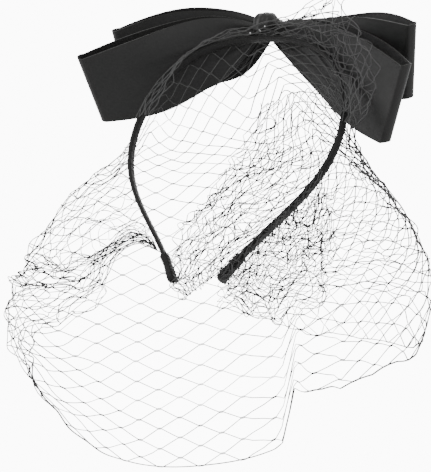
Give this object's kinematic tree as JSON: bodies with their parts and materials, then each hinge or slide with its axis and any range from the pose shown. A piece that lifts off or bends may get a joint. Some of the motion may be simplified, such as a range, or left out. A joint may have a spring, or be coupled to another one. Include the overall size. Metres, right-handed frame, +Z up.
{
  "type": "veil fascinator headband",
  "caption": "Slim horseshoe headband with a looped satin bow on the crown and a coarse net veil hanging in front of the face and round the sides.",
  "frame": {"origin": "middle of the band's inner face at the crown, where the band sits on the head", "axes": "+Z up, the wearer looks along -Y, the wearer's left is +X; the band's plane leans forward from its tips to its crown"},
  "size_m": [0.2454, 0.1683, 0.2693],
  "materials": {
    "wound_satin": "satin",
    "satin": "satin",
    "net": "matte"
  },
  "bodies": {
    "root": {"headband": "wound_satin", "left_tip_wrap": "wound_satin", "right_tip_wrap": "wound_satin", "bow_knot": "satin", "bow_front_left_loop": "satin", "bow_front_right_loop": "satin", "bow_back_left_loop": "satin", "bow_back_right_loop": "satin", "veil": "net"}
  },
  "joints": []
}
